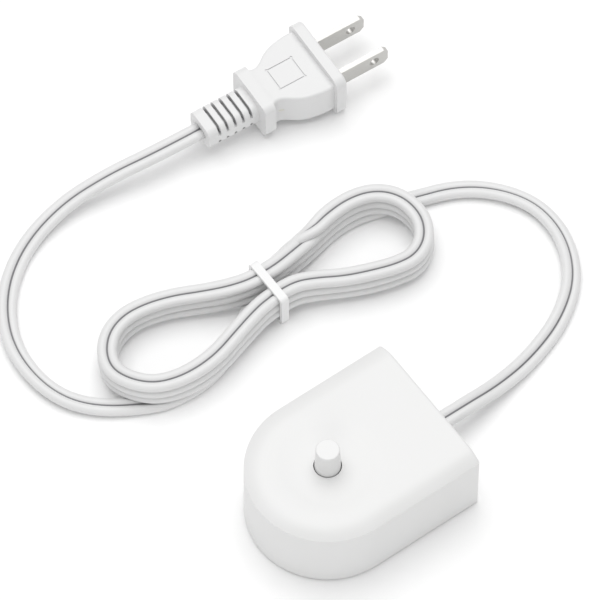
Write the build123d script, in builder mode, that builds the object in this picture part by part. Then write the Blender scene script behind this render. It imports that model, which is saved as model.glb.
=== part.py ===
"""Inductive charging base for an electric toothbrush, with its flat two-core cord and two-blade plug.

The origin is on the surface the base stands on, under the middle of the base.
+Z is up, the round nose of the base faces -Y and the cord leaves the flat back towards +Y.
All sizes are in millimetres.
"""
from build123d import *
import math
import os

os.makedirs("parts", exist_ok=True)

# ------------------------------------------------------------------ driving sizes
# Base housing
base_width = 46.0
base_length = 58.0
base_height = 24.0
wall = 2.0
roof = 2.4
roll_width = 6.0  # soft shoulder between the top face and the crease, across
roll_drop = 2.2  # and down
back_edge_radius = 0.8
foot_proud = 0.5  # how far the rubber feet stand below the housing

# Shallow seat for the toothbrush, round the charging post
dish_flat_radius = 7.5
dish_rim_radius = 17.0
dish_depth = 0.5
rim_step = 0.02  # keeps the rim from being exactly tangent to the top face

# Charging post
post_foot_diameter = 7.3
post_top_diameter = 6.7
post_height = 8.8
post_wall = 1.0
post_ring_gap = 0.3
post_edge_radius = 0.4
post_flange_diameter = 13.0
post_flange_thickness = 1.2
seal_thickness = 0.8
seal_width = 2.0

# Underside
cover_thickness = 3.0
cover_gap = 0.15
cover_seal_thickness = 0.8
ledge_width = 1.2
ledge_height = 1.2
foot_diameter = 8.0
foot_thickness = 1.4
foot_edge_radius = 0.25
cover_screw_diameter = 2.5
cover_screw_length = 8.0
cover_screw_head = 4.5
cover_screw_head_height = 1.1
cover_boss_diameter = 5.0
nose_boss_across = 12.6  # from the middle
nose_boss_ahead = 10.4  # from the nose's centre
tail_boss_inset = 4.6  # from the inside of the side walls
tail_boss_ahead = 5.2  # from the inside of the back wall

# Electronics
board_thickness = 1.6
board_above_cord = 1.6  # its underside above the cord's middle
board_margin = 2.0
board_back_gap = 8.4  # from the inside of the back wall
board_boss_diameter = 4.4
board_screw_diameter = 2.0
board_screw_length = 6.0
board_screw_head = 3.8
board_screw_head_height = 1.2
board_boss_inset = 5.4  # side bosses, from the inside of the side walls
board_boss_ahead = 24.0  # and from the inside of the back wall
board_boss_nose = 15.0  # front boss, from the nose's centre
ferrite_diameter = 4.8
bobbin_bore_gap = 0.1
bobbin_wall = 0.8
bobbin_flange_diameter = 18.0
bobbin_flange_thickness = 0.9
coil_diameter = 16.6

# Cord
cord_width = 5.6
cord_thickness = 2.8
cord_above_ledge = 3.7
grommet_lip = 1.4
grommet_flange_thickness = 1.2
clamp_length = 20.0
clamp_depth = 4.4
clamp_thickness = 1.6
clamp_screw_x = 7.2
clamp_screw_diameter = 2.0
clamp_screw_length = 7.0
clamp_screw_head = 3.6
clamp_screw_head_height = 1.0
clamp_inset = 4.6  # from the inside of the back wall
wire_diameter = 1.4
cord_tail_length = 9.6

# Hank: a pinched ring of four layers, and the tie round its waist
hank_x = -62.7
hank_y = 19.2
hank_layers = 4
layer_pitch = 2.9
loop_radius = 12.1
waist_radius = 25.0
tie_width = 2.5
tie_thickness = 1.0

# Plug: blades to the two-blade pattern, 12.7 apart
plug_x = -114.7
plug_y = 75.6
plug_heading = 86.8  # degrees from +X to the blades' direction
flange_width = 25.6
flange_height = 16.5
flange_thickness = 3.4
flange_corner = 3.0
body_height = 11.8
grip_edge_radius = 0.8
panel_size = (8.6, 7.8)
panel_middle = -12.7
panel_groove_width = 0.35
panel_groove_depth = 0.25
panel_dot = 0.8
collar_width = 17.4
collar_height = 13.4
collar_corner = 2.4
collar_front = -21.4
collar_back = -25.0
waist_at = -19.3
waist_half = 6.5
bulge = [(-14.6, 9.1), (-9.4, 10.9)]  # along the plug and out from its middle
grip_front_half = 11.2
grip_back_half = 7.8
relief_back = -41.7
relief_width = 10.2
relief_height = 8.2
relief_corner = 2.4
slot_pitch = 2.65
slot_first = -27.5
slot_count = 5
slot_width = 0.9
slot_depth = 1.9
slot_end = 0.9  # height above the cord's middle where a slot stops
dot_diameter = 1.0
dot_depth = 0.8
dot_drop = 1.9
blade_spacing = 12.7
blade_width = 6.35
blade_thickness = 1.5
blade_length = 17.5
blade_root = 11.5  # how far a blade reaches back behind the plug's face
blade_hole = 3.0
blade_hole_back = 4.6  # hole centre to tip
blade_tip_chamfer = 1.3
carrier_size = (17.6, 9.0, 8.4)
carrier_recess = 1.2
crimp_diameter = 3.4
crimp_length = 4.6

# ------------------------------------------------------------------ derived places
half_width = base_width / 2
back_y = base_length / 2
nose_y = half_width - base_length / 2
roll_radius = (roll_width**2 + roll_drop**2) / (2 * roll_drop)
roll_grow = roll_radius - roll_width
crease_height = base_height - roll_drop
roof_under = base_height - roof
inner_half = half_width - wall
inner_back = back_y - wall
dish_floor = base_height - dish_depth
cover_bottom = foot_proud
cover_top = cover_bottom + cover_thickness
ledge_bottom = cover_top + cover_seal_thickness
cord_exit_height = ledge_bottom + cord_above_ledge
board_bottom = cord_exit_height + board_above_cord
board_top = board_bottom + board_thickness
board_back_y = inner_back - board_back_gap
clamp_y = inner_back - clamp_inset
flange_top = roof_under - seal_thickness
flange_bottom = flange_top - post_flange_thickness
post_top = dish_floor + post_height
post_hole_diameter = post_foot_diameter + 2 * post_ring_gap
post_bore = ferrite_diameter + 2 * bobbin_bore_gap
bobbin_tube = post_bore + 2 * bobbin_wall
cover_screw_places = [
    (-nose_boss_across, nose_y - nose_boss_ahead),
    (nose_boss_across, nose_y - nose_boss_ahead),
    (tail_boss_inset - inner_half, inner_back - tail_boss_ahead),
    (inner_half - tail_boss_inset, inner_back - tail_boss_ahead),
]
board_boss_places = [
    (board_boss_inset - inner_half, inner_back - board_boss_ahead),
    (inner_half - board_boss_inset, inner_back - board_boss_ahead),
    (0.0, nose_y - board_boss_nose),
]
clamp_screw_places = [(-clamp_screw_x, clamp_y), (clamp_screw_x, clamp_y)]
cord_top = cord_exit_height + cord_thickness / 2
cord_under = cord_exit_height - cord_thickness / 2
hank_height = (hank_layers - 1) * layer_pitch + cord_thickness
post_axis = Axis((0, nose_y, 0), (0, 0, 1))
post_section = Plane(origin=(0, nose_y, 0), x_dir=(1, 0, 0), z_dir=(0, -1, 0))
back_wall = Plane(origin=(0, back_y, cord_exit_height), x_dir=(-1, 0, 0), z_dir=(0, 1, 0))
boss_roof = roof_under + roof / 4  # bosses run this far up, into the roof

heading = math.radians(plug_heading)
plug_axis_height = flange_height / 2


def finish(part, name):
    """Label a finished piece and write it to its own STEP file."""
    part.label = name
    export_step(part, f"parts/{name}.step")


def d_shape(height, half, back):
    """The base's outline at one height: a half-round nose with straight sides to a flat back."""
    with BuildSketch(Plane.XY.offset(height)) as outline:
        with BuildLine():
            Line((half, back), (half, nose_y))
            ThreePointArc((half, nose_y), (0, nose_y - half), (-half, nose_y))
            Line((-half, nose_y), (-half, back))
            Line((-half, back), (half, back))
        make_face()
    return outline.sketch


def d_ring(half, back):
    """The strip between the base's outline at that size and the inner edge of its ledge."""
    with BuildSketch() as ring:
        add(d_shape(0, half, back))
        add(d_shape(0, inner_half - ledge_width, inner_back - ledge_width), mode=Mode.SUBTRACT)
    return ring.sketch


def crown(inset):
    """The housing's rounded upper shape, larger than the walls so that the shoulder ends at a crease."""
    with BuildPart() as shape:
        add(d_shape(0, half_width + roll_grow - inset, back_y + 1))
        extrude(amount=base_height - (roof if inset else 0))
        rim = shape.faces().sort_by(Axis.Z)[-1].edges().filter_by(lambda e: e.center().Y < back_y)
        fillet(rim, radius=roll_radius - inset)
    return shape.part


def plug_plane(along, side=0.0, up=0.0):
    """A plane across the plug: local x is across it, local y is up, and z points along the blades."""
    direction = Vector(math.cos(heading), math.sin(heading), 0)
    across = Vector(-math.sin(heading), math.cos(heading), 0)
    origin = Vector(plug_x, plug_y, plug_axis_height) + direction * along + across * side + Vector(0, 0, up)
    return Plane(origin=origin, x_dir=across, z_dir=direction)


def plug_level(up):
    """A level plane through the plug: local x points along the blades and local y across it."""
    direction = Vector(math.cos(heading), math.sin(heading), 0)
    return Plane(origin=(plug_x, plug_y, plug_axis_height + up), x_dir=direction, z_dir=(0, 0, 1))


def screw(x, y, seat, shank, length, head, head_height):
    """A pan-head screw standing upwards from its seat; the thread form is left plain."""
    with BuildPart() as solid:
        with BuildSketch(Plane.XY.offset(seat - head_height)):
            with Locations((x, y)):
                Circle(head / 2)
        extrude(amount=head_height)
        fillet(solid.edges().sort_by(Axis.Z)[0], radius=head_height * 0.4)
        with BuildSketch(Plane.XY.offset(seat)):
            with Locations((x, y)):
                Circle(shank / 2)
        extrude(amount=length)
    return solid.part


# ------------------------------------------------------------------ housing
outer_crown = crown(0)
inner_crown = crown(wall)

with BuildPart() as cavity:
    add(d_shape(0, inner_half, inner_back))
    extrude(amount=base_height)
    add(inner_crown, mode=Mode.INTERSECT)

with BuildPart() as top_housing:
    add(d_shape(foot_proud, half_width, back_y))
    extrude(amount=base_height)
    add(outer_crown, mode=Mode.INTERSECT)
    back_rim = top_housing.faces().sort_by(Axis.Y)[-1].edges().filter_by(lambda e: e.center().Z > foot_proud + 1)
    fillet(back_rim, radius=back_edge_radius)
    add(cavity.part, mode=Mode.SUBTRACT)
    # ledge that the cover's seal is pressed against
    with BuildSketch(Plane.XY.offset(ledge_bottom)):
        add(d_ring(inner_half, inner_back))
    extrude(amount=ledge_height)
    # bosses for the cover screws, the board screws and the cord clamp
    with BuildSketch(Plane.XY.offset(cover_top)):
        with Locations(*cover_screw_places):
            Circle(cover_boss_diameter / 2)
    extrude(amount=boss_roof - cover_top)
    with BuildSketch(Plane.XY.offset(board_top)):
        with Locations(*board_boss_places):
            Circle(board_boss_diameter / 2)
    extrude(amount=boss_roof - board_top)
    with BuildSketch(Plane.XY.offset(cord_under)):
        with Locations(*clamp_screw_places):
            Circle(board_boss_diameter / 2)
    extrude(amount=boss_roof - cord_under)
    # pilot holes
    with BuildSketch(Plane.XY.offset(cover_top)):
        with Locations(*cover_screw_places):
            Circle(cover_screw_diameter / 2)
    extrude(amount=cover_screw_length, mode=Mode.SUBTRACT)
    with BuildSketch(Plane.XY.offset(board_top)):
        with Locations(*board_boss_places):
            Circle(board_screw_diameter / 2)
    extrude(amount=board_screw_length, mode=Mode.SUBTRACT)
    with BuildSketch(Plane.XY.offset(cord_under)):
        with Locations(*clamp_screw_places):
            Circle(clamp_screw_diameter / 2)
    extrude(amount=clamp_screw_length, mode=Mode.SUBTRACT)
    # hole for the charging post
    with BuildSketch(Plane.XY.offset(roof_under - 1)):
        with Locations((0, nose_y)):
            Circle(post_hole_diameter / 2)
    extrude(amount=roof + 2, mode=Mode.SUBTRACT)
    # shallow seat for the toothbrush: flat floor, then an S-shaped rise to the top face
    with BuildSketch(post_section):
        with BuildLine():
            mid_radius = (dish_flat_radius + dish_rim_radius) / 2
            mid_height = base_height - dish_depth / 2
            Line((0, dish_floor), (dish_flat_radius, dish_floor))
            TangentArc((dish_flat_radius, dish_floor), (mid_radius, mid_height), tangent=(1, 0))
            TangentArc(
                (dish_rim_radius, base_height + rim_step), (mid_radius, mid_height), tangent=(-1, 0)
            )
            Polyline(
                (dish_rim_radius, base_height + rim_step),
                (dish_rim_radius, base_height + 2),
                (0, base_height + 2),
                (0, dish_floor),
            )
        make_face()
    revolve(axis=post_axis, mode=Mode.SUBTRACT)
    # saddle that holds the cord down on its clamp
    with BuildSketch(Plane.XY.offset(cord_top)):
        with Locations((0, clamp_y)):
            Rectangle(cord_width, clamp_depth - 1)
    extrude(amount=boss_roof - cord_top)
    # slot in the back wall for the cord's grommet, and a notch in the ledge for its flange
    with BuildSketch(back_wall):
        SlotOverall(cord_width + 2 * grommet_lip, cord_thickness + 2 * grommet_lip)
    extrude(amount=-wall, mode=Mode.SUBTRACT)
    with BuildSketch(back_wall.offset(-wall)):
        SlotOverall(cord_width + 3 * grommet_lip, cord_thickness + 3 * grommet_lip)
    extrude(amount=-ledge_width, mode=Mode.SUBTRACT)
finish(top_housing.part, "top_housing")

# ------------------------------------------------------------------ charging post and its seal
with BuildPart() as charging_post:
    with BuildSketch(Plane.XY.offset(flange_bottom)):
        with Locations((0, nose_y)):
            Circle(post_flange_diameter / 2)
    extrude(amount=post_flange_thickness)
    with BuildSketch(post_section):
        with BuildLine():
            Polyline(
                (0, flange_top),
                (post_foot_diameter / 2, flange_top),
                (post_foot_diameter / 2, dish_floor),
                (post_top_diameter / 2, post_top),
                (0, post_top),
                (0, flange_top),
            )
        make_face()
    revolve(axis=post_axis)
    fillet(charging_post.edges().sort_by(Axis.Z)[-1], radius=post_edge_radius)
    with BuildSketch(Plane.XY.offset(flange_bottom)):
        with Locations((0, nose_y)):
            Circle(post_bore / 2)
    extrude(amount=post_top - post_wall - flange_bottom, mode=Mode.SUBTRACT)
finish(charging_post.part, "charging_post")

with BuildPart() as post_seal:
    with BuildSketch(Plane.XY.offset(flange_top)):
        with Locations((0, nose_y)):
            Circle(post_hole_diameter / 2 + seal_width)
            Circle(post_hole_diameter / 2, mode=Mode.SUBTRACT)
    extrude(amount=seal_thickness)
finish(post_seal.part, "post_seal")

# ------------------------------------------------------------------ underside
with BuildPart() as bottom_cover:
    add(d_shape(cover_bottom, inner_half - cover_gap, inner_back - cover_gap))
    extrude(amount=cover_thickness)
    with BuildSketch(Plane.XY.offset(cover_bottom)):
        with Locations(*cover_screw_places):
            Circle(foot_diameter / 2)
    extrude(amount=foot_thickness - foot_proud, mode=Mode.SUBTRACT)
    with BuildSketch(Plane.XY.offset(cover_bottom)):
        with Locations(*cover_screw_places):
            Circle(cover_screw_head / 2)
    extrude(amount=foot_thickness - foot_proud + cover_screw_head_height, mode=Mode.SUBTRACT)
    with BuildSketch(Plane.XY.offset(cover_bottom)):
        with Locations(*cover_screw_places):
            Circle(cover_screw_diameter / 2)
    extrude(amount=cover_thickness, mode=Mode.SUBTRACT)
finish(bottom_cover.part, "bottom_cover")

with BuildPart() as cover_seal:
    with BuildSketch(Plane.XY.offset(cover_top)):
        add(d_ring(inner_half - cover_gap, inner_back - cover_gap))
    extrude(amount=cover_seal_thickness)
finish(cover_seal.part, "cover_seal")

screw_seat = foot_thickness + cover_screw_head_height
cover_screw_shank = cover_top - screw_seat + cover_screw_length
cover_screws = Compound(
    children=[
        screw(x, y, screw_seat, cover_screw_diameter, cover_screw_shank, cover_screw_head, cover_screw_head_height)
        for x, y in cover_screw_places
    ]
)
finish(cover_screws, "cover_screws")

with BuildPart() as rubber_feet:
    with BuildSketch():
        with Locations(*cover_screw_places):
            Circle(foot_diameter / 2)
    extrude(amount=foot_thickness)
    fillet(rubber_feet.edges().group_by(Axis.Z)[0], radius=foot_edge_radius)
finish(rubber_feet.part, "rubber_feet")

# ------------------------------------------------------------------ coil under the post
with BuildPart() as ferrite_rod:
    with BuildSketch(Plane.XY.offset(board_top)):
        with Locations((0, nose_y)):
            Circle(ferrite_diameter / 2)
    extrude(amount=post_top - post_wall - board_top)
finish(ferrite_rod.part, "ferrite_rod")

bobbin_height = flange_bottom - board_top
with BuildPart() as coil_bobbin:
    with BuildSketch(Plane.XY.offset(board_top)):
        with Locations((0, nose_y)):
            Circle(bobbin_tube / 2)
    extrude(amount=bobbin_height)
    for flange_height_at in (board_top, flange_bottom - bobbin_flange_thickness):
        with BuildSketch(Plane.XY.offset(flange_height_at)):
            with Locations((0, nose_y)):
                Circle(bobbin_flange_diameter / 2)
        extrude(amount=bobbin_flange_thickness)
    with BuildSketch(Plane.XY.offset(board_top)):
        with Locations((0, nose_y)):
            Circle(post_bore / 2)
    extrude(amount=bobbin_height, mode=Mode.SUBTRACT)
finish(coil_bobbin.part, "coil_bobbin")

with BuildPart() as primary_coil:
    with BuildSketch(Plane.XY.offset(board_top + bobbin_flange_thickness)):
        with Locations((0, nose_y)):
            Circle(coil_diameter / 2)
            Circle(bobbin_tube / 2, mode=Mode.SUBTRACT)
    extrude(amount=bobbin_height - 2 * bobbin_flange_thickness)
finish(primary_coil.part, "primary_coil")

# ------------------------------------------------------------------ circuit board and what is on it
board_half = inner_half - board_margin
with BuildPart() as circuit_board:
    add(d_shape(board_bottom, board_half, board_back_y))
    extrude(amount=board_thickness)
    with BuildSketch(Plane.XY.offset(board_bottom)):
        with Locations(*cover_screw_places):
            Circle(cover_boss_diameter / 2 + 2 * cover_gap)
        with Locations(*board_boss_places):
            Circle(board_screw_diameter / 2)
    extrude(amount=board_thickness, mode=Mode.SUBTRACT)
finish(circuit_board.part, "circuit_board")

board_screws = Compound(
    children=[
        screw(
            x,
            y,
            board_bottom,
            board_screw_diameter,
            board_thickness + board_screw_length,
            board_screw_head,
            board_screw_head_height,
        )
        for x, y in board_boss_places
    ]
)
finish(board_screws, "board_screws")

capacitor_diameter = 8.0
capacitor_length = 11.5
capacitor_y = inner_back - 13.8
capacitor_axis = Plane(
    origin=(-15.5, capacitor_y, board_top + capacitor_diameter / 2), x_dir=(0, 1, 0), z_dir=(1, 0, 0)
)
with BuildPart() as input_capacitor:
    with BuildSketch(capacitor_axis):
        Circle(capacitor_diameter / 2)
    extrude(amount=capacitor_length)
    fillet(input_capacitor.edges(), radius=0.5)
finish(input_capacitor.part, "input_capacitor")

film_size = (12.0, 4.6, 8.0)
with BuildPart() as film_capacitor:
    with BuildSketch(Plane.XY.offset(board_top)):
        with Locations((5.0, inner_back - 11.4)):
            Rectangle(film_size[0], film_size[1])
    extrude(amount=film_size[2])
    fillet(film_capacitor.edges().filter_by(Axis.Z), radius=0.6)
finish(film_capacitor.part, "film_capacitor")

choke_size = (7.0, 7.5)
choke_place = (12.0, inner_back - 18.4)
with BuildPart() as filter_choke:
    with BuildSketch(Plane.XY.offset(board_top)):
        with Locations(choke_place):
            Circle(choke_size[0] / 2)
    extrude(amount=choke_size[1])
    with BuildSketch(Plane.XY.offset(board_top + 1.2)):
        with Locations(choke_place):
            Circle(choke_size[0] / 2)
            Circle(choke_size[0] / 2 - 0.7, mode=Mode.SUBTRACT)
    extrude(amount=choke_size[1] - 2.4, mode=Mode.SUBTRACT)
finish(filter_choke.part, "filter_choke")

transistor_body = (7.8, 2.8, 7.0)
lead_height = 2.4
transistor_place = (13.4, inner_back - 29.6)
with BuildPart() as switch_transistor:
    with BuildSketch(Plane.XY.offset(board_top)):
        with Locations(transistor_place):
            with GridLocations(2.3, 1, 3, 1):
                Rectangle(0.7, 0.5)
    extrude(amount=lead_height)
    with BuildSketch(Plane.XY.offset(board_top + lead_height)):
        with Locations(transistor_place):
            Rectangle(transistor_body[0], transistor_body[1])
    extrude(amount=transistor_body[2])
finish(switch_transistor.part, "switch_transistor")

fuse_body = (2.6, 6.5)
fuse_height = board_top + 1.8
fuse_place = (-11.3, inner_back - 23.4)
with BuildPart() as input_fuse:
    with BuildSketch(Plane(origin=(*fuse_place, fuse_height), x_dir=(1, 0, 0), z_dir=(0, 1, 0))):
        Circle(fuse_body[0] / 2)
    extrude(amount=fuse_body[1] / 2, both=True)
    with BuildLine():
        reach = fuse_body[1] / 2 + 1.6
        FilletPolyline(
            (fuse_place[0], fuse_place[1] - reach, board_top),
            (fuse_place[0], fuse_place[1] - reach, fuse_height),
            (fuse_place[0], fuse_place[1] + reach, fuse_height),
            (fuse_place[0], fuse_place[1] + reach, board_top),
            radius=0.8,
        )
    with BuildSketch(Plane(origin=(fuse_place[0], fuse_place[1] - reach, board_top), z_dir=(0, 0, 1))):
        Circle(0.3)
    sweep()
finish(input_fuse.part, "input_fuse")

rectifier_size = (4.7, 3.9, 2.4)
with BuildPart() as bridge_rectifier:
    with BuildSketch(Plane.XY.offset(board_bottom - rectifier_size[2])):
        with Locations((9.0, inner_back - 17.0)):
            Rectangle(rectifier_size[0], rectifier_size[1])
    extrude(amount=rectifier_size[2])
finish(bridge_rectifier.part, "bridge_rectifier")

chip_size = (3.2, 1.6, 0.6)
with BuildPart() as chip_resistors:
    with BuildSketch(Plane.XY.offset(board_bottom - chip_size[2])):
        with Locations((-6.0, inner_back - 19.0)):
            with GridLocations(5.0, 3.4, 3, 3):
                Rectangle(chip_size[0], chip_size[1])
    extrude(amount=chip_size[2])
finish(chip_resistors.part, "chip_resistors")

# ------------------------------------------------------------------ cord entry
with BuildPart() as cord_grommet:
    with BuildSketch(back_wall):
        SlotOverall(cord_width + 2 * grommet_lip, cord_thickness + 2 * grommet_lip)
    extrude(amount=-wall)
    with BuildSketch(back_wall.offset(-wall)):
        SlotOverall(cord_width + 3 * grommet_lip, cord_thickness + 3 * grommet_lip)
    extrude(amount=-grommet_flange_thickness)
    with BuildSketch(back_wall):
        SlotOverall(cord_width, cord_thickness)
    extrude(amount=-(wall + grommet_flange_thickness), mode=Mode.SUBTRACT)
finish(cord_grommet.part, "cord_grommet")

with BuildPart() as cord_tail:
    with BuildSketch(back_wall):
        SlotOverall(cord_width, cord_thickness)
    extrude(amount=-cord_tail_length)
finish(cord_tail.part, "cord_tail")

with BuildPart() as cord_clamp:
    with BuildSketch(Plane.XY.offset(cord_under - clamp_thickness)):
        with Locations((0, clamp_y)):
            SlotOverall(clamp_length, clamp_depth)
    extrude(amount=clamp_thickness)
    with BuildSketch(Plane.XY.offset(cord_under - clamp_thickness)):
        with Locations(*clamp_screw_places):
            Circle(clamp_screw_diameter / 2)
    extrude(amount=clamp_thickness, mode=Mode.SUBTRACT)
finish(cord_clamp.part, "cord_clamp")

clamp_screws = Compound(
    children=[
        screw(
            x,
            y,
            cord_under - clamp_thickness,
            clamp_screw_diameter,
            clamp_thickness + clamp_screw_length,
            clamp_screw_head,
            clamp_screw_head_height,
        )
        for x, y in clamp_screw_places
    ]
)
finish(clamp_screws, "clamp_screws")

# two insulated cores run from the cord's cut end, under the board, and up into it
core_offset = cord_width / 4
core_end_y = back_y - cord_tail_length
core_solder_y = board_back_y - 3.0
with BuildPart() as mains_cores:
    for side in (-1, 1):
        with BuildLine():
            FilletPolyline(
                (side * core_offset, core_end_y, cord_exit_height),
                (side * core_offset, core_solder_y, cord_exit_height),
                (side * core_offset, core_solder_y, board_bottom),
                radius=wire_diameter / 2 + 0.05,
            )
        with BuildSketch(Plane(origin=(side * core_offset, core_end_y, cord_exit_height), z_dir=(0, -1, 0))):
            Circle(wire_diameter / 2)
        sweep()
finish(mains_cores.part, "mains_cores")

# ------------------------------------------------------------------ hank and tie
def hank_corners():
    """Corners of the pinched ring's centre line, symmetric about its middle."""
    half = [(-3.43, 0.35), (-10.52, 50.82), (20.04, 47.88)]
    other = [(-x, -y) for x, y in half]
    return [(hank_x + x, hank_y + y) for x, y in half + other]


corner_radii = [waist_radius, loop_radius, loop_radius] * 2

# Free cord from the base to the hank, corner by corner
base_route = [
    (0.0, back_y, cord_exit_height),
    (0.0, 41.0, 8.0),
    (-1.8, 54.0, 3.4),
    (-4.3, 67.5, 1.5),
    (-9.5, 82.0, 1.5),
    (-19.0, 94.0, 1.5),
    (-33.0, 100.0, 1.5),
    (-47.5, 98.5, 1.5),
    (-61.0, 87.0, 1.5),
    (-67.6, 72.2, 1.5),
]
# Free cord from the hank to the plug
plug_route = [
    (-57.2, -33.8, 1.5),
    (-62.3, -42.5, 1.5),
    (-73.5, -49.8, 1.5),
    (-90.5, -50.0, 1.5),
    (-106.0, -41.8, 1.5),
    (-117.2, -28.0, 1.5),
    (-121.8, -11.5, 3.4),
    (-120.5, 4.5, 6.6),
    tuple(plug_plane(relief_back - 14.0).origin),
    tuple(plug_plane(relief_back).origin),
]


def corner_arcs(route):
    """Radius at each corner of a cord's route, from its two runs and its turn."""
    radii = []
    points = [Vector(*p) for p in route]
    for before, here, after in zip(points, points[1:], points[2:]):
        turn = (here - before).get_angle(after - here)
        shorter = min((here - before).length, (after - here).length)
        radii.append(0.45 * shorter / math.tan(math.radians(turn / 2)))
    return radii


def free_cord(route, name):
    """A flat two-core cord along straight runs joined by arcs."""
    radii = corner_arcs(route)
    with BuildPart() as cord:
        with BuildLine() as path:
            FilletPolyline(*route, radius=radii)
        first_run = Vector(*route[1]) - Vector(*route[0])
        level = Vector(0, 0, 1).cross(first_run).normalized()
        with BuildSketch(Plane(origin=route[0], x_dir=level, z_dir=first_run)) as section:
            SlotOverall(cord_width, cord_thickness)
        sweep()
    length = sum(edge.length for edge in path.edges())
    print(name, "radii", [round(r, 1) for r in radii], "length", round(length, 1))
    print(name, "volume / (section x length)", round(cord.part.volume / (section.sketch.area * length), 4))
    return cord.part


cord_lead_base = free_cord(base_route, "cord_lead_base")
finish(cord_lead_base, "cord_lead_base")
cord_lead_plug = free_cord(plug_route, "cord_lead_plug")
finish(cord_lead_plug, "cord_lead_plug")


def stub_plane(route, end, beyond):
    """Plane across a lead's end at the hank, facing into the hank."""
    near = Vector(*route[end])
    inward = (near - Vector(*route[beyond])).normalized()
    return Plane(origin=near, x_dir=Vector(0, 0, 1).cross(inward), z_dir=inward)


stub_length = 9.0
waist_outer = 6.95
tie_inner = (2 * waist_outer, hank_height)
tie_plane = Plane(origin=(hank_x, hank_y, hank_height / 2), x_dir=(1, 0, 0), z_dir=(0, -1, 0))
with BuildPart() as cord_tie:
    with BuildSketch(tie_plane) as band:
        with Locations((0, tie_thickness / 2)):
            RectangleRounded(tie_inner[0] + 2 * tie_thickness, tie_inner[1] + tie_thickness, 1.4)
            RectangleRounded(tie_inner[0], tie_inner[1] - tie_thickness, 0.8, mode=Mode.SUBTRACT)
    extrude(amount=tie_width / 2, both=True)
finish(cord_tie.part, "cord_tie")

with BuildPart() as cord_hank:
    with BuildSketch():
        with BuildLine():
            FilletPolyline(*hank_corners(), radius=corner_radii, close=True)
        make_face()
        offset(amount=cord_width / 2)
    extrude(amount=hank_height)
    with BuildSketch():
        with BuildLine():
            FilletPolyline(*hank_corners(), radius=corner_radii, close=True)
        make_face()
        offset(amount=-cord_width / 2)
    extrude(amount=hank_height, mode=Mode.SUBTRACT)
    with BuildSketch(stub_plane(base_route, -1, -2), stub_plane(plug_route, 0, 1)):
        SlotOverall(cord_width, cord_thickness)
    extrude(amount=stub_length)
    add(cord_tie.part, mode=Mode.SUBTRACT)
finish(cord_hank.part, "cord_hank")

# ------------------------------------------------------------------ plug
blade_hole_at = blade_length - blade_hole_back
for number, side in enumerate((-1, 1), start=1):
    with BuildPart() as blade:
        with BuildSketch(plug_plane(-blade_root, side * blade_spacing / 2)):
            Rectangle(blade_thickness, blade_width)
        extrude(amount=blade_root + blade_length)
        tip = blade.faces().filter_by(GeomType.PLANE).sort_by(Axis((0, 0, 0), tuple(plug_plane(0).z_dir)))[-1]
        chamfer(tip.edges().filter_by(lambda e: abs(e.tangent_at(0).Z) < 0.5), length=blade_tip_chamfer)
        across = plug_plane(0).x_dir
        hole_centre = plug_plane(blade_hole_at, side * blade_spacing / 2).origin - across * blade_thickness
        with BuildSketch(Plane(origin=hole_centre, x_dir=(0, 0, 1), z_dir=across)):
            Circle(blade_hole / 2)
        extrude(amount=2 * blade_thickness, mode=Mode.SUBTRACT)
    finish(blade.part, f"plug_blade_{number}")
    if number == 1:
        first_blade = blade.part
    else:
        second_blade = blade.part

with BuildPart() as blade_crimps:
    with BuildSketch(
        plug_plane(-blade_root, -blade_spacing / 2), plug_plane(-blade_root, blade_spacing / 2)
    ):
        Circle(crimp_diameter / 2)
    extrude(amount=-crimp_length)
finish(blade_crimps.part, "blade_crimps")

with BuildPart() as blade_carrier:
    with BuildSketch(plug_plane(-carrier_recess)):
        RectangleRounded(carrier_size[0], carrier_size[1], 1.0)
    extrude(amount=-carrier_size[2])
    add(first_blade, mode=Mode.SUBTRACT)
    add(second_blade, mode=Mode.SUBTRACT)
finish(blade_carrier.part, "blade_carrier")

plug_tail_length = 14.0
tail_end = relief_back + plug_tail_length
with BuildPart() as cord_plug_tail:
    with BuildSketch(plug_plane(relief_back)):
        SlotOverall(cord_width, cord_thickness)
    extrude(amount=plug_tail_length)
finish(cord_plug_tail.part, "cord_plug_tail")

with BuildPart() as plug_cores:
    for side in (-1, 1):
        core_route = [
            plug_plane(tail_end, side * core_offset).origin,
            plug_plane(tail_end + 5.0, side * core_offset).origin,
            plug_plane(-blade_root - crimp_length - 2.5, side * blade_spacing / 2).origin,
            plug_plane(-blade_root - crimp_length, side * blade_spacing / 2).origin,
        ]
        with BuildLine():
            FilletPolyline(*core_route, radius=1.5)
        with BuildSketch(plug_plane(tail_end, side * core_offset)):
            Circle(wire_diameter / 2)
        sweep()
finish(plug_cores.part, "plug_cores")

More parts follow.
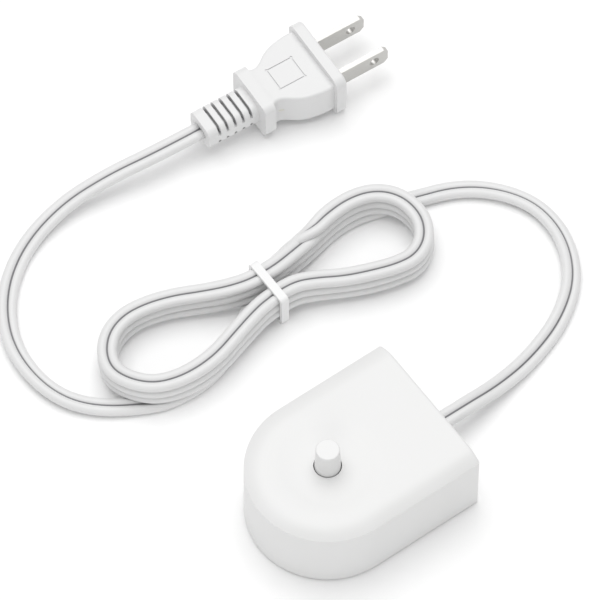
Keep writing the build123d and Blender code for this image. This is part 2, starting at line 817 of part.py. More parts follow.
grip_overlap = 0.6  # how far the grip runs into the flange and the collar
with BuildPart() as grip:
    with BuildSketch(plug_level(-body_height / 2)):
        with BuildLine():
            grip_back = collar_front - grip_overlap
            grip_front = -flange_thickness + grip_overlap
            Line((grip_back, 0), (grip_back, grip_back_half))
            Spline((grip_back, grip_back_half), (waist_at, waist_half), *bulge, (grip_front, grip_front_half))
            Polyline((grip_front, grip_front_half), (grip_front, 0), (grip_back, 0))
        make_face()
        mirror(about=Plane.XZ)
    extrude(amount=body_height)
    level_faces = grip.faces().filter_by(Axis.Z)
    fillet(level_faces.edges().filter_by(GeomType.BSPLINE), radius=grip_edge_radius)
    # square panel outlined by a fine groove on the top and the underside, with a dot at each corner
    for face_up in (-1, 1):
        groove_floor = face_up * (body_height / 2 - panel_groove_depth)
        with BuildSketch(plug_level(groove_floor)):
            with Locations((panel_middle, 0)):
                Rectangle(panel_size[0], panel_size[1])
                Rectangle(
                    panel_size[0] - 2 * panel_groove_width,
                    panel_size[1] - 2 * panel_groove_width,
                    mode=Mode.SUBTRACT,
                )
                with GridLocations(panel_size[0] - 0.2, panel_size[1] - 0.2, 2, 2):
                    Circle(panel_dot / 2)
        extrude(amount=face_up * panel_groove_depth, mode=Mode.SUBTRACT)

with BuildPart() as plug_body:
    # front flange
    with BuildSketch(plug_plane(-flange_thickness)):
        RectangleRounded(flange_width, flange_height, flange_corner)
    extrude(amount=flange_thickness)
    fillet(plug_body.faces().filter_by(lambda f: abs(f.normal_at().Z) < 0.01).sort_by(Axis.Y)[-1].edges(), radius=0.6)
    # grip: narrow at the waist, bulging out to the flange
    add(grip.part)
    # rear collar and strain relief
    with BuildSketch(plug_plane(collar_back)):
        RectangleRounded(collar_width, collar_height, collar_corner)
    extrude(amount=collar_front - collar_back)
    with BuildSketch(plug_plane(relief_back)):
        RectangleRounded(relief_width, relief_height, relief_corner)
    extrude(amount=collar_back - relief_back)
    # five slots over the top of the strain relief, and a round dimple under each end
    for index in range(slot_count):
        along = slot_first - index * slot_pitch
        with BuildSketch(plug_plane(along - slot_width / 2)):
            RectangleRounded(relief_width + 1, relief_height + 1, relief_corner)
            RectangleRounded(
                relief_width - 2 * slot_depth, relief_height - 2 * slot_depth, 1.2, mode=Mode.SUBTRACT
            )
            with Locations((0, -relief_height / 2)):
                Rectangle(relief_width + 2, relief_height + 2 * slot_end, mode=Mode.SUBTRACT)
        extrude(amount=slot_width, mode=Mode.SUBTRACT)
        for side in (-1, 1):
            dimple = plug_plane(along, side * relief_width / 2, -dot_drop)
            with BuildSketch(Plane(origin=dimple.origin, x_dir=(0, 0, 1), z_dir=dimple.x_dir)):
                Circle(dot_diameter / 2)
            extrude(amount=-side * dot_depth, mode=Mode.SUBTRACT)
    # everything that the plug is moulded round
    for inside in (first_blade, second_blade, blade_crimps.part, blade_carrier.part):
        add(inside, mode=Mode.SUBTRACT)
    for inside in (cord_plug_tail.part, plug_cores.part):
        add(inside, mode=Mode.SUBTRACT)
finish(plug_body.part, "plug_body")
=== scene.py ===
import math

import bmesh
import bpy
from mathutils import Matrix, Vector, noise


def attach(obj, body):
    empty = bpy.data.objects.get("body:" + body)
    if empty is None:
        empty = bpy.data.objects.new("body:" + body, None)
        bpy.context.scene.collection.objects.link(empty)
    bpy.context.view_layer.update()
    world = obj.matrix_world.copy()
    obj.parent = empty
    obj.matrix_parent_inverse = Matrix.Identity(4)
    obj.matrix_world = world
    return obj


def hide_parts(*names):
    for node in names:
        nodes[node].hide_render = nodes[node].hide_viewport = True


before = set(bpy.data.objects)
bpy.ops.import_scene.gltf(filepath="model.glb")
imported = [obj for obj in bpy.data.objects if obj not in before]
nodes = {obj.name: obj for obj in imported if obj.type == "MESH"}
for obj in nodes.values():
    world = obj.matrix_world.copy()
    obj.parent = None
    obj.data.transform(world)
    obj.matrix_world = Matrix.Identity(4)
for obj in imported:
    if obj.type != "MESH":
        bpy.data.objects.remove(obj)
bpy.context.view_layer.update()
mm = 0.001


def toLinear(hexColor):
    # sRGB hex to the linear values that shaders use
    channels = [int(hexColor[i : i + 2], 16) / 255 for i in (1, 3, 5)]
    linear = [c / 12.92 if c <= 0.04045 else ((c + 0.055) / 1.055) ** 2.4 for c in channels]
    return linear + [1.0]


def addNode(tree, kind, settings=None, inputs=None):
    # one node with its settings, and values or links on its inputs
    node = tree.nodes.new(kind)
    for name, value in (settings or {}).items():
        setattr(node, name, value)
    for name, value in (inputs or {}).items():
        if isinstance(value, bpy.types.NodeSocket):
            tree.links.new(value, node.inputs[name])
        else:
            node.inputs[name].default_value = value
    return node


def startMaterial(name):
    material = bpy.data.materials.new(name)
    material.use_nodes = True
    tree = material.node_tree
    tree.nodes.clear()
    shader = addNode(tree, "ShaderNodeBsdfPrincipled")
    output = addNode(tree, "ShaderNodeOutputMaterial")
    tree.links.new(shader.outputs["BSDF"], output.inputs["Surface"])
    return material, tree, shader


def objectNoise(tree, sizeMm, detail=2.0, stretch=(1, 1, 1)):
    # noise whose blotches are about sizeMm across, fixed to the piece
    coords = addNode(tree, "ShaderNodeTexCoord")
    mapping = addNode(
        tree, "ShaderNodeMapping", inputs={"Vector": coords.outputs["Object"], "Scale": stretch}
    )
    cloud = addNode(
        tree,
        "ShaderNodeTexNoise",
        inputs={"Vector": mapping.outputs["Vector"], "Scale": 1 / (sizeMm * mm), "Detail": detail},
    )
    return cloud.outputs["Fac"]


noiseMiddle = (0.3, 0.7)  # where most of a noise's values lie


def mapRange(tree, value, source, target):
    # takes one range to another and holds still past its ends
    names = ("From Min", "From Max", "To Min", "To Max")
    ends = dict(zip(names, (*source, *target)))
    node = addNode(tree, "ShaderNodeMapRange", inputs={"Value": value, **ends})
    return node.outputs["Result"]


def mixColors(tree, factor, first, second):
    # each colour is a hex value or another node's output
    node = addNode(tree, "ShaderNodeMix", {"data_type": "RGBA"}, {"Factor": factor})
    for socket, color in ((node.inputs[6], first), (node.inputs[7], second)):
        if isinstance(color, bpy.types.NodeSocket):
            tree.links.new(color, socket)
        else:
            socket.default_value = toLinear(color)
    return node.outputs[2]


creviceSpec = {
    "samples": 8,
    "openness": (0.05, 0.45),  # full painted shade below the first, none above the second
}


def paintCreviceShade(tree, color, paintedShade, sizeMm):
    # painted shade: darkens the colour in gaps narrower than sizeMm
    shade = addNode(
        tree,
        "ShaderNodeAmbientOcclusion",
        {"samples": creviceSpec["samples"], "only_local": True},
        {"Distance": sizeMm * mm},
    )
    amount = mapRange(tree, shade.outputs["AO"], creviceSpec["openness"], (1.0, 0.0))
    return mixColors(tree, amount, color, paintedShade)


def bumpFrom(tree, height, depthMm, strength):
    node = addNode(
        tree,
        "ShaderNodeBump",
        inputs={"Height": height, "Distance": depthMm * mm, "Strength": strength},
    )
    return node.outputs["Normal"]


def facing(spot, direction):
    # stands at a spot with its back to a direction
    return Matrix.Translation(spot) @ direction.to_track_quat("Z", "Y").to_matrix().to_4x4()


cameraSpec = {
    "lookAt": (-59.54, 25.74, 0.0),
    "azimuth": 54.23,
    "elevation": 58.95,
    "distance": 1770.0,
    "lens": 383.8,
    "sensor": 36.0,
    "clip": (0.05, 50.0),
}


def placeCamera(spec):
    turn, rise = math.radians(spec["azimuth"]), math.radians(spec["elevation"])
    away = Vector(
        (math.sin(turn) * math.cos(rise), -math.cos(turn) * math.cos(rise), math.sin(rise))
    )
    data = bpy.data.cameras.new("studioCamera")
    data.sensor_width = spec["sensor"]
    data.sensor_fit = "HORIZONTAL"
    data.lens = spec["lens"]
    data.clip_start, data.clip_end = spec["clip"]
    camera = bpy.data.objects.new("studioCamera", data)
    bpy.context.scene.collection.objects.link(camera)
    spot = Vector(spec["lookAt"]) + away * spec["distance"]
    camera.matrix_world = facing(spot * mm, away)
    bpy.context.scene.camera = camera


placeCamera(cameraSpec)
print("camera placed")


cordSpec = {
    "width": 5.6,
    "thickness": 2.84,
    "coreOffset": 1.38,  # of each core from the middle
    "layerPitch": 2.86,
    "lowestLayer": 1.5,  # height of a cord's middle where it lies on the surface
    "sectionSteps": 19,  # points round each core
    "lineSteps": 10,  # points between two corners of the cord's line
    "weld": 0.02,  # points nearer than this are joined
}
# corners from the base to the hank, and from the hank to the plug: x, y, z, roll
baseRoute = [
    (0.0, 29.0, 8.0, 0.0),
    (0.0, 41.0, 8.0, 0.05),
    (-1.8, 54.0, 3.4, 0.12),
    (-4.3, 67.5, 1.5, 0.25),
    (-9.5, 82.0, 1.5, 0.4),
    (-19.0, 94.0, 1.5, 0.42),
    (-33.0, 100.0, 1.5, 0.38),
    (-47.5, 98.5, 1.5, 0.3),
    (-61.0, 87.0, 1.5, 0.15),
]
plugRoute = [
    (-63.2, -41.6, 1.5, 0.15),
    (-75.0, -48.4, 1.5, 0.36),
    (-91.8, -48.6, 1.5, 0.36),
    (-106.6, -41.0, 1.5, 0.25),
    (-117.2, -28.0, 1.5, 0.05),
    (-121.8, -11.5, 3.4, -0.08),
    (-120.5, 4.5, 6.6, -0.05),
    (-117.81, 19.99, 8.25, 0.0),
    (-117.03, 33.97, 8.25, 0.0),
]
hankSpec = {
    "middle": (-62.7, 19.2),
    "loops": 3,
    "entry": (-67.0, 69.5, 1.5, 0.05),  # where the lead reaches the far run
    # corners of one turn about the hank's middle: from the tie's near side round the +Y end
    "rightLobe": [
        (3.8, 5.5),
        (6.3, 12.0),
        (9.8, 19.0),
        (13.0, 26.2),
        (15.1, 33.4),
        (15.7, 39.4),
        (12.9, 44.9),
        (7.4, 48.4),
        (0.8, 48.4),
        (-4.6, 45.4),
        (-8.2, 40.4),
        (-9.4, 33.7),
        (-8.9, 26.5),
        (-7.0, 19.0),
        (-5.0, 11.5),
        (-3.8, 4.5),
    ],
    # and on from its far side round the -Y end
    "leftLobe": [
        (-3.8, -3.5),
        (-6.0, -10.0),
        (-9.6, -16.5),
        (-13.2, -23.5),
        (-15.5, -31.0),
        (-16.0, -38.2),
        (-13.8, -44.6),
        (-9.2, -49.4),
        (-3.0, -51.1),
        (3.1, -49.0),
        (7.8, -44.6),
        (10.2, -38.5),
        (10.9, -31.5),
        (10.0, -24.5),
        (7.8, -17.5),
        (5.7, -10.8),
        (4.1, -4.5),
    ],
    # height in layers, above the turn's number, at distances along each lobe
    "rightLayers": [(0, 1.0), (16, 0.6), (45, 0.5), (66, 1.0), (86, 1.0), (104, 1.95)],
    "leftLayers": [(0, 1.0), (18, 0.45), (50, 0.5), (66, 1.0), (112, 1.0)],
    # the last pass: across from the middle, height, roll; down the far side, under and out
    "lastPass": [
        (-7.9, 21.5, 9.7, 0.35),
        (-8.7, 15.8, 7.6, 1.1),
        (-9.2, 10.0, 4.0, 1.2),
        (-7.8, 4.2, 1.9, 0.6),
        (-4.4, -0.6, 2.0, 0.1),
        (-0.6, -6.0, 1.7, 0.0),
        (3.2, -11.8, 1.5, 0.0),
        (6.2, -17.6, 1.5, 0.0),
        (8.5, -23.0, 1.5, 0.0),
        (10.4, -30.0, 1.5, 0.0),
        (10.4, -38.0, 1.5, 0.0),
        (8.6, -46.0, 1.5, 0.0),
    ],
    # heights of the far run's corners, where the lead comes in under it and rises to the tie
    "entryLayers": (1.0, 1.0, 1.0, 1.2, 1.65, 1.95),
    "lastTurnStop": -3,  # corners that the last turn leaves off, for the last pass
    "lean": 0.25,  # how far each layer sits back from the one below
    "plumbLayer": 2.5,  # the layer that stands right over the outline
    "loose": 0.16,
    # how fast each wobble changes along a turn and from layer to layer, and where it starts
    "wobbleX": (1.7, 3.1, 0.3),
    "wobbleY": (1.3, 2.3, 7.9),
    "turnOffset": 31,  # between the wobbles of two turns
}


def blendValues(stops, at):
    # smooth steps between (place, value) pairs
    if at <= stops[0][0]:
        return stops[0][1]
    for (a, va), (b, vb) in zip(stops, stops[1:]):
        if at <= b:
            t = (at - a) / (b - a)
            t = t * t * (3 - 2 * t)
            return va + (vb - va) * t
    return stops[-1][1]


def hankCorners(spec, cord):
    # the turns of the hank, as corners of the cord's own line, each with its roll
    middleX, middleY = spec["middle"]
    corners = [spec["entry"]]

    def wobble(steps, seed, layer):
        alongStep, layerStep, start = steps
        place = Vector((seed * alongStep, layer * layerStep, start))
        return noise.noise(place) * 2 * spec["loose"]

    def put(x, y, layer, seed):
        height = cord["lowestLayer"] + (layer - 1) * cord["layerPitch"]
        lean = (layer - spec["plumbLayer"]) * spec["lean"]
        cornerX = middleX + x + wobble(spec["wobbleX"], seed, layer) - lean
        cornerY = middleY + y + wobble(spec["wobbleY"], seed, layer)
        corners.append((cornerX, cornerY, height, 0.0))

    def putLobe(lobe, layers, turn, last=None):
        along = 0.0
        for k, (x, y) in enumerate(lobe[:last]):
            if k:
                along += math.dist(lobe[k - 1], (x, y))
            put(x, y, turn + blendValues(layers, along), along + spec["turnOffset"] * turn)

    farRun = spec["rightLobe"][-len(spec["entryLayers"]) :]
    for (x, y), layer in zip(farRun, spec["entryLayers"]):
        put(x, y, layer, y)
    for turn in range(1, spec["loops"] + 1):
        stop = spec["lastTurnStop"] if turn == spec["loops"] else None
        putLobe(spec["leftLobe"], spec["leftLayers"], turn)
        putLobe(spec["rightLobe"], spec["rightLayers"], turn, stop)
    corners += [(middleX + x, middleY + y, z, roll) for x, y, z, roll in spec["lastPass"]]
    return corners


def cordCentreLine(points, name):
    # one smooth line with these corner points
    curve = bpy.data.curves.new(name, "CURVE")
    curve.dimensions = "3D"
    curve.resolution_u = cordSpec["lineSteps"]
    spline = curve.splines.new("NURBS")
    spline.points.add(len(points) - 1)
    for target, p in zip(spline.points, points):
        target.co = (*[v * mm for v in p], 1.0)
    spline.order_u = 3
    spline.use_endpoint_u = True
    guide = bpy.data.objects.new(name, curve)
    bpy.context.scene.collection.objects.link(guide)
    bpy.context.view_layer.update()
    depsgraph = bpy.context.evaluated_depsgraph_get()
    line = bpy.data.meshes.new_from_object(guide.evaluated_get(depsgraph))
    path = [v.co.copy() for v in line.vertices]
    bpy.data.objects.remove(guide)
    bpy.data.meshes.remove(line)
    return path


vinylSpec = {
    "tones": ("#dedede", "#e3e3e3"),
    "IOR": 1.54,
    "roughness": (0.36, 0.48),
    "cloudMm": 22,
    "dragMm": 1.1,
    "relief": (0.02, 0.4),
    "grooveShade": "#858588",
    "grooveReach": (0.1, 0.24),  # of a core's radius: full painted shade, and none
    "gaps": ("#a4a4a6", 1.6),  # painted shade in the gaps between the turns
}


def softVinyl(spec):
    # white PVC, extruded over the cores: slightly waxy, with faint marks along its length
    material, tree, shader = startMaterial("pvc_extruded_white")
    shader.inputs["IOR"].default_value = spec["IOR"]
    body = mixColors(tree, objectNoise(tree, spec["cloudMm"]), *spec["tones"])
    # painted shade: the bottom of the groove between the cores is darkened
    groove = addNode(tree, "ShaderNodeAttribute", {"attribute_name": "fromGroove"})
    paintedShade = mapRange(tree, groove.outputs["Fac"], spec["grooveReach"], (1.0, 0.0))
    grooveShaded = mixColors(tree, paintedShade, body, spec["grooveShade"])
    # painted shade in the gaps between the turns, over the groove's painted shade
    tree.links.new(paintCreviceShade(tree, grooveShaded, *spec["gaps"]), shader.inputs["Base Color"])
    drag = objectNoise(tree, spec["dragMm"], 3)
    gloss = mapRange(tree, drag, noiseMiddle, spec["roughness"])
    tree.links.new(gloss, shader.inputs["Roughness"])
    tree.links.new(bumpFrom(tree, drag, *spec["relief"]), shader.inputs["Normal"])
    return material


def addSockets(tree, inputs):
    # geometry in, geometry out and the named inputs of a tree
    tree.interface.new_socket("Geometry", in_out="INPUT", socket_type="NodeSocketGeometry")
    for name, kind, value in inputs:
        socket = tree.interface.new_socket(name, in_out="INPUT", socket_type=kind)
        if value is not None:
            socket.default_value = value
    tree.interface.new_socket("Geometry", in_out="OUTPUT", socket_type="NodeSocketGeometry")
    return addNode(tree, "NodeGroupInput").outputs, addNode(tree, "NodeGroupOutput")


def nodeMath(tree, operation, *values):
    node = addNode(tree, "ShaderNodeMath", {"operation": operation})
    for socket, value in zip(node.inputs, values):
        if isinstance(value, bpy.types.NodeSocket):
            tree.links.new(value, socket)
        else:
            socket.default_value = value
    return node.outputs[0]


def twinCordTree():
    # sweeps two joined round cores along a line, level but for the line's own roll
    tree = bpy.data.node_groups.new("twinCord", "GeometryNodeTree")
    given, end = addSockets(
        tree,
        [
            ("Core Radius", "NodeSocketFloat", 0.001),
            ("Core Offset", "NodeSocketFloat", 0.001),
            ("Steps", "NodeSocketInt", 16),
            ("Material", "NodeSocketMaterial", None),
        ],
    )
    radius, offset = given["Core Radius"], given["Core Offset"]
    # each core's arc stops where it meets the other core, in the groove
    reach = nodeMath(tree, "ARCCOSINE", nodeMath(tree, "DIVIDE", offset, radius))
    arc = addNode(
        tree,
        "GeometryNodeCurveArc",
        {"mode": "RADIUS"},
        {
            "Resolution": given["Steps"],
            "Radius": radius,
            "Start Angle": nodeMath(tree, "SUBTRACT", reach, math.pi),
            "Sweep Angle": nodeMath(
                tree, "SUBTRACT", 2 * math.pi, nodeMath(tree, "MULTIPLY", reach, 2.0)
            ),
        },
    )
    shift = addNode(tree, "ShaderNodeCombineXYZ", inputs={"X": offset})
    one = addNode(
        tree,
        "GeometryNodeTransform",
        inputs={"Geometry": arc.outputs[0], "Translation": shift.outputs[0]},
    )
    other = addNode(
        tree,
        "GeometryNodeTransform",
        inputs={"Geometry": one.outputs[0], "Rotation": (0.0, 0.0, math.pi)},
    )
    both = addNode(tree, "GeometryNodeJoinGeometry")
    for core in (one, other):
        tree.links.new(core.outputs[0], both.inputs[0])
    # how near a point of the section is to the groove, for the material
    where = addNode(tree, "GeometryNodeInputPosition")
    split = addNode(tree, "ShaderNodeSeparateXYZ", inputs={"Vector": where.outputs[0]})
    across = nodeMath(tree, "DIVIDE", nodeMath(tree, "ABSOLUTE", split.outputs["X"]), radius)
    section = addNode(
        tree,
        "GeometryNodeStoreNamedAttribute",
        {"data_type": "FLOAT", "domain": "POINT"},
        {"Geometry": both.outputs[0], "Name": "fromGroove", "Value": across},
    )
    line = addNode(tree, "GeometryNodeMeshToCurve", inputs={"Mesh": given["Geometry"]})
    level = addNode(
        tree, "GeometryNodeSetCurveNormal", {"mode": "Z_UP"}, {"Curve": line.outputs[0]}
    )
    roll = addNode(
        tree, "GeometryNodeInputNamedAttribute", {"data_type": "FLOAT"}, {"Name": "roll"}
    )
    turned = addNode(
        tree,
        "GeometryNodeSetCurveTilt",
        inputs={"Curve": level.outputs[0], "Tilt": roll.outputs["Attribute"]},
    )
    sheath = addNode(
        tree,
        "GeometryNodeCurveToMesh",
        inputs={"Curve": turned.outputs[0], "Profile Curve": section.outputs[0]},
    )
    closed = addNode(
        tree,
        "GeometryNodeMergeByDistance",
        inputs={"Geometry": sheath.outputs[0], "Distance": cordSpec["weld"] * mm},
    )
    smooth = addNode(tree, "GeometryNodeSetShadeSmooth", inputs={"Geometry": closed.outputs[0]})
    plain = addNode(tree, "GeometryNodeRealizeInstances", inputs={"Geometry": smooth.outputs[0]})
    finished = addNode(
        tree,
        "GeometryNodeSetMaterial",
        inputs={"Geometry": plain.outputs[0], "Material": given["Material"]},
    )
    tree.links.new(finished.outputs[0], end.inputs[0])
    return tree


def runTree(source, tree, settings, name):
    # the tree's result on an object, as a plain closed mesh under a new name
    modifier = source.modifiers.new("nodes", "NODES")
    modifier.node_group = tree
    for item in tree.interface.items_tree:
        if item.in_out == "INPUT" and item.name in settings:
            modifier[item.identifier] = settings[item.name]
    bpy.context.view_layer.update()
    depsgraph = bpy.context.evaluated_depsgraph_get()
    mesh = bpy.data.meshes.new_from_object(source.evaluated_get(depsgraph))
    source.modifiers.remove(modifier)
    bpy.data.objects.remove(source)
    work = bmesh.new()
    work.from_mesh(mesh)
    bmesh.ops.holes_fill(work, edges=[e for e in work.edges if e.is_boundary])
    bmesh.ops.recalc_face_normals(work, faces=work.faces)
    work.to_mesh(mesh)
    work.free()
    mesh.name = name
    piece = bpy.data.objects.new(name, mesh)
    bpy.context.scene.collection.objects.link(piece)
    return piece


def lineObject(path, rolls, name):
    # the cord's line as a string of edges that carry its roll
    mesh = bpy.data.meshes.new(name)
    mesh.from_pydata(path, [(k, k + 1) for k in range(len(path) - 1)], [])
    rollAttribute = mesh.attributes.new("roll", "FLOAT", "POINT")
    rollAttribute.data.foreach_set("value", rolls)
    line = bpy.data.objects.new(name, mesh)
    bpy.context.scene.collection.objects.link(line)
    return line


def lifted(x, y, z, roll):
    # a rolled cord rests on one edge, so its middle is higher
    rest = cordSpec["lowestLayer"] + cordSpec["coreOffset"] * abs(math.sin(roll))
    return (x, y, max(z, rest), roll)


cordCorners = [lifted(*corner) for corner in baseRoute]
cordCorners += hankCorners(hankSpec, cordSpec)
cordCorners += [lifted(*corner) for corner in plugRoute]
cordPath = cordCentreLine([corner[:3] for corner in cordCorners], "cordLine")
# the same spline through the rolls gives the roll at each point of the line
rollPath = cordCentreLine([(corner[3], 0.0, 0.0) for corner in cordCorners], "rollLine")
cordRolls = [point.x / mm for point in rollPath]

vinylWhite = softVinyl(vinylSpec)
freeCord = runTree(
    lineObject(cordPath, cordRolls, "cordLine"),
    twinCordTree(),
    {
        "Core Radius": cordSpec["thickness"] / 2 * mm,
        "Core Offset": cordSpec["coreOffset"] * mm,
        "Steps": cordSpec["sectionSteps"],
        "Material": vinylWhite,
    },
    "flat_cord",
)


def makeSurface(name, spec):
    # two tones, an uneven gloss and, where it is given, a relief: depth in mm, strength
    material, tree, shader = startMaterial(name)
    cloud = objectNoise(tree, spec["cloudMm"], spec["detail"], spec.get("stretch", (1, 1, 1)))
    color = mixColors(tree, cloud, *spec["tones"])
    # painted shade in narrow crevices, where the spec gives it
    if "crevices" in spec:
        color = paintCreviceShade(tree, color, *spec["crevices"])
    tree.links.new(color, shader.inputs["Base Color"])
    gloss = mapRange(tree, cloud, noiseMiddle, spec["roughness"])
    tree.links.new(gloss, shader.inputs["Roughness"])
    if "relief" in spec:
        grain = objectNoise(tree, spec["grainMm"], 3) if "grainMm" in spec else cloud
        tree.links.new(bumpFrom(tree, grain, *spec["relief"]), shader.inputs["Normal"])
    for socket in ("IOR", "Metallic", "Alpha"):
        if socket in spec:
            shader.inputs[socket].default_value = spec[socket]
    return material


def wear(material, names):
    # puts a material on CAD nodes
    for name in names:
        slots = nodes[name].data.materials
        if len(slots):
            slots[0] = material
        else:
            slots.append(material)


surfaces = {
    # white ABS, injection moulded: satin, with a faint unevenness in its gloss
    "abs_moulded_white": {
        "nodes": ["top_housing", "bottom_cover"],
        "tones": ("#e2e2e1", "#e6e6e6"),
        "IOR": 1.53,
        "roughness": (0.36, 0.44),
        "cloudMm": 14,
        "detail": 2,
        "grainMm": 0.35,
        "relief": (0.012, 0.5),
    },
    # the same ABS from a finer mould: slightly glossier
    "abs_polished_white": {
        "nodes": ["charging_post"],
        "tones": ("#e3e3e2", "#e7e7e7"),
        "IOR": 1.53,
        "roughness": (0.28, 0.34),
        "cloudMm": 5,
        "detail": 2,
    },
    # white PVC, moulded over the blades: satin, with painted shade in the strain relief's slots
    "pvc_moulded_white": {
        "nodes": ["plug_body"],
        "tones": ("#e0e0e0", "#e5e5e5"),
        "IOR": 1.54,
        "roughness": (0.4, 0.47),
        "cloudMm": 9,
        "detail": 2,
        "grainMm": 0.3,  # real grain is about 0.1 mm, drawn coarser so that it shows
        "relief": (0.015, 0.6),
        "crevices": ("#6f6f72", 1.6),
    },
    # white polyethylene strip, rolled: fine lines along it and a soft gloss
    "polyethylene_rolled_white": {
        "nodes": ["cord_tie"],
        "tones": ("#ececec", "#f1f1f1"),
        "IOR": 1.51,
        "roughness": (0.4, 0.5),
        "cloudMm": 0.5,
        "detail": 2,
        "stretch": (0.08, 1.0, 1.0),
        "relief": (0.02, 0.5),
    },
    # brass strip, stamped and nickel plated: bright grey with fine lines from rolling
    "brass_nickel_plated": {
        "nodes": ["plug_blade_1", "plug_blade_2", "blade_crimps"],
        "tones": ("#b9b8b5", "#cfcecb"),
        "Metallic": 1.0,
        "roughness": (0.3, 0.42),
        "cloudMm": 0.35,
        "detail": 3,
        "stretch": (1.0, 0.05, 1.0),
        "relief": (0.01, 0.6),
    },
    # silicone rubber, moulded: matte and faintly dusty
    "silicone_moulded_grey": {
        "nodes": ["post_seal", "cover_seal", "rubber_feet"],
        "tones": ("#b0b1b3", "#bebfc1"),
        "roughness": (0.62, 0.8),
        "cloudMm": 1.2,
        "detail": 4,
        "relief": (0.03, 0.6),
    },
    # carbon steel, zinc plated: pale grey with a slight blotch
    "steel_zinc_plated": {
        "nodes": ["cover_screws", "board_screws", "clamp_screws"],
        "tones": ("#a9abad", "#c4c6c8"),
        "Metallic": 1.0,
        "roughness": (0.3, 0.45),
        "cloudMm": 0.8,
        "detail": 3,
    },
    # black nylon and epoxy, moulded: dull black
    "nylon_moulded_black": {
        "nodes": [
            "blade_carrier",
            "coil_bobbin",
            "cord_clamp",
            "switch_transistor",
            "bridge_rectifier",
            "chip_resistors",
        ],
        "tones": ("#17181a", "#232427"),
        "roughness": (0.45, 0.58),
        "cloudMm": 0.6,
    },
    # ferrite, sintered and ground: dark grey, a little gritty
    "ferrite_ground_dark": {
        "nodes": ["ferrite_rod"],
        "tones": ("#242526", "#36373a"),
        "roughness": (0.5, 0.63),
        "cloudMm": 0.4,
    },
    # glass-fibre board under green lacquer: a mottled, half-gloss green
    "fibreglass_masked_green": {
        "nodes": ["circuit_board"],
        "tones": ("#1c4a2b", "#256037"),
        "roughness": (0.35, 0.48),
        "cloudMm": 1.5,
    },
    # epoxy, dipped: a glossy, uneven red coat
    "epoxy_dipped_red": {
        "nodes": ["film_capacitor"],
        "tones": ("#7c1a12", "#92251a"),
        "roughness": (0.25, 0.38),
        "cloudMm": 2.0,
    },
    # polyester sleeve, shrunk on: tight, glossy blue-black
    "polyester_shrunk_black": {
        "nodes": ["input_capacitor"],
        "tones": ("#14161d", "#1f222c"),
        "roughness": (0.2, 0.33),
        "cloudMm": 2.0,
    },
    # glass tube, drawn: half clear and very smooth
    "glass_drawn_clear": {
        "nodes": ["input_fuse"],
        "tones": ("#d5dddd", "#e4ecec"),
        "Alpha": 0.5,
        "roughness": (0.05, 0.18),
        "cloudMm": 1.0,
    },
    # PVC, extruded on each wire: ivory and soft
    "pvc_core_ivory": {
        "nodes": ["mains_cores", "plug_cores"],
        "tones": ("#d8d6cf", "#e6e4dd"),
        "roughness": (0.4, 0.53),
        "cloudMm": 0.7,
    },
}
hiddenDefaults = {"detail": 3, "relief": (0.02, 0.5)}

windingSpec = {
    "nodes": ["primary_coil", "filter_choke"],
    "tones": ("#6b3213", "#b8652f"),
    "metallic": 0.8,
    "roughness": 0.35,
    "waveScale": 100.0,  # bands 3.1 mm apart
    "distortion": 0.3,
    "relief": (0.12, 0.8),
}


def windingCopper(spec):
    # enamelled copper wire, wound: ringed brown, far coarser than the real turns of 0.25 mm
    material, tree, shader = startMaterial("copper_enamelled_wound")
    coords = addNode(tree, "ShaderNodeTexCoord")
    turns = addNode(
        tree,
        "ShaderNodeTexWave",
        {"bands_direction": "Z"},
        {
            "Vector": coords.outputs["Object"],
            "Scale": spec["waveScale"],
            "Distortion": spec["distortion"],
        },
    ).outputs["Fac"]
    shader.inputs["Metallic"].default_value = spec["metallic"]
    shader.inputs["Roughness"].default_value = spec["roughness"]
    tree.links.new(mixColors(tree, turns, *spec["tones"]), shader.inputs["Base Color"])
    tree.links.new(bumpFrom(tree, turns, *spec["relief"]), shader.inputs["Normal"])
    return material


for name, spec in surfaces.items():
    full = spec if "detail" in spec else {**hiddenDefaults, **spec}
    wear(makeSurface(name, full), spec["nodes"])
wear(vinylWhite, ["cord_grommet", "cord_tail", "cord_plug_tail"])
wear(windingCopper(windingSpec), windingSpec["nodes"])
print("materials assigned")


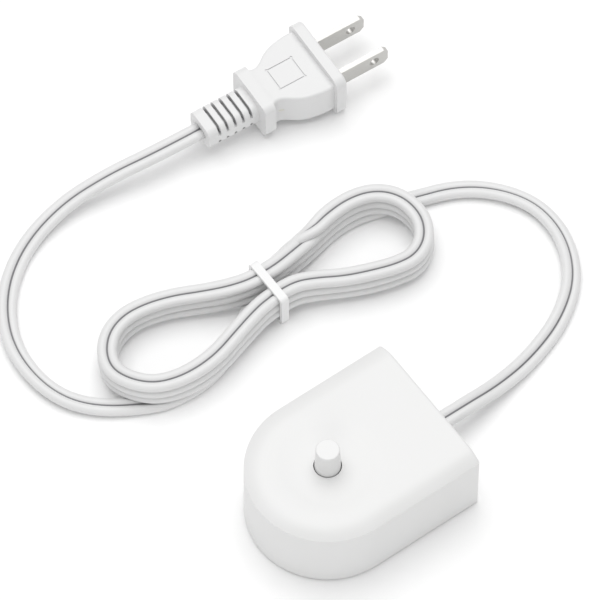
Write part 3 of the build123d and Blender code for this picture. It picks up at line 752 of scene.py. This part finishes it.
studioSpec = {
    "floorSize": 6.0,
    "floorTones": ("#fbfbfb", "#ffffff"),
    "floorCloudMm": 60,
    "floorRoughness": 0.9,
    "floorSpecular": 0.1,
    "aim": (-0.05, 0.02, 0.0),
    "key": {"at": (-0.55, 0.2, 2.1), "size": 2.4, "power": 31.0},
    "fill": {"at": (1.4, -1.25, 0.85), "size": 1.4, "power": 5.0},
    "sky": 0.56,
}


def buildFloor(spec):
    # a sheet of pale matte paper
    material, tree, shader = startMaterial("paper_seamless_white")
    color = mixColors(tree, objectNoise(tree, spec["floorCloudMm"]), *spec["floorTones"])
    tree.links.new(color, shader.inputs["Base Color"])
    shader.inputs["Roughness"].default_value = spec["floorRoughness"]
    shader.inputs["Specular IOR Level"].default_value = spec["floorSpecular"]
    half = spec["floorSize"] / 2
    mesh = bpy.data.meshes.new("studioFloor")
    corners = [(-half, -half, 0), (half, -half, 0), (half, half, 0), (-half, half, 0)]
    mesh.from_pydata(corners, [], [(0, 1, 2, 3)])
    mesh.materials.append(material)
    floor = bpy.data.objects.new("studioFloor", mesh)
    bpy.context.scene.collection.objects.link(floor)


def addSoftLight(name, lamp, aim):
    data = bpy.data.lights.new(name, "AREA")
    data.shape = "DISK"
    data.size = lamp["size"]
    data.energy = lamp["power"]
    light = bpy.data.objects.new(name, data)
    bpy.context.scene.collection.objects.link(light)
    spot = Vector(lamp["at"])
    light.matrix_world = facing(spot, spot - Vector(aim))


def lightStudio(spec):
    world = bpy.data.worlds.new("studioWorld")
    world.use_nodes = True
    background = world.node_tree.nodes["Background"]
    background.inputs["Color"].default_value = (1, 1, 1, 1)
    background.inputs["Strength"].default_value = spec["sky"]
    bpy.context.scene.world = world
    bpy.context.scene.view_settings.view_transform = "Standard"
    addSoftLight("keyLight", spec["key"], spec["aim"])
    addSoftLight("fillLight", spec["fill"], spec["aim"])


buildFloor(studioSpec)
lightStudio(studioSpec)
print("studio lit")


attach(freeCord, "root")
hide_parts("cord_lead_base", "cord_hank", "cord_lead_plug")
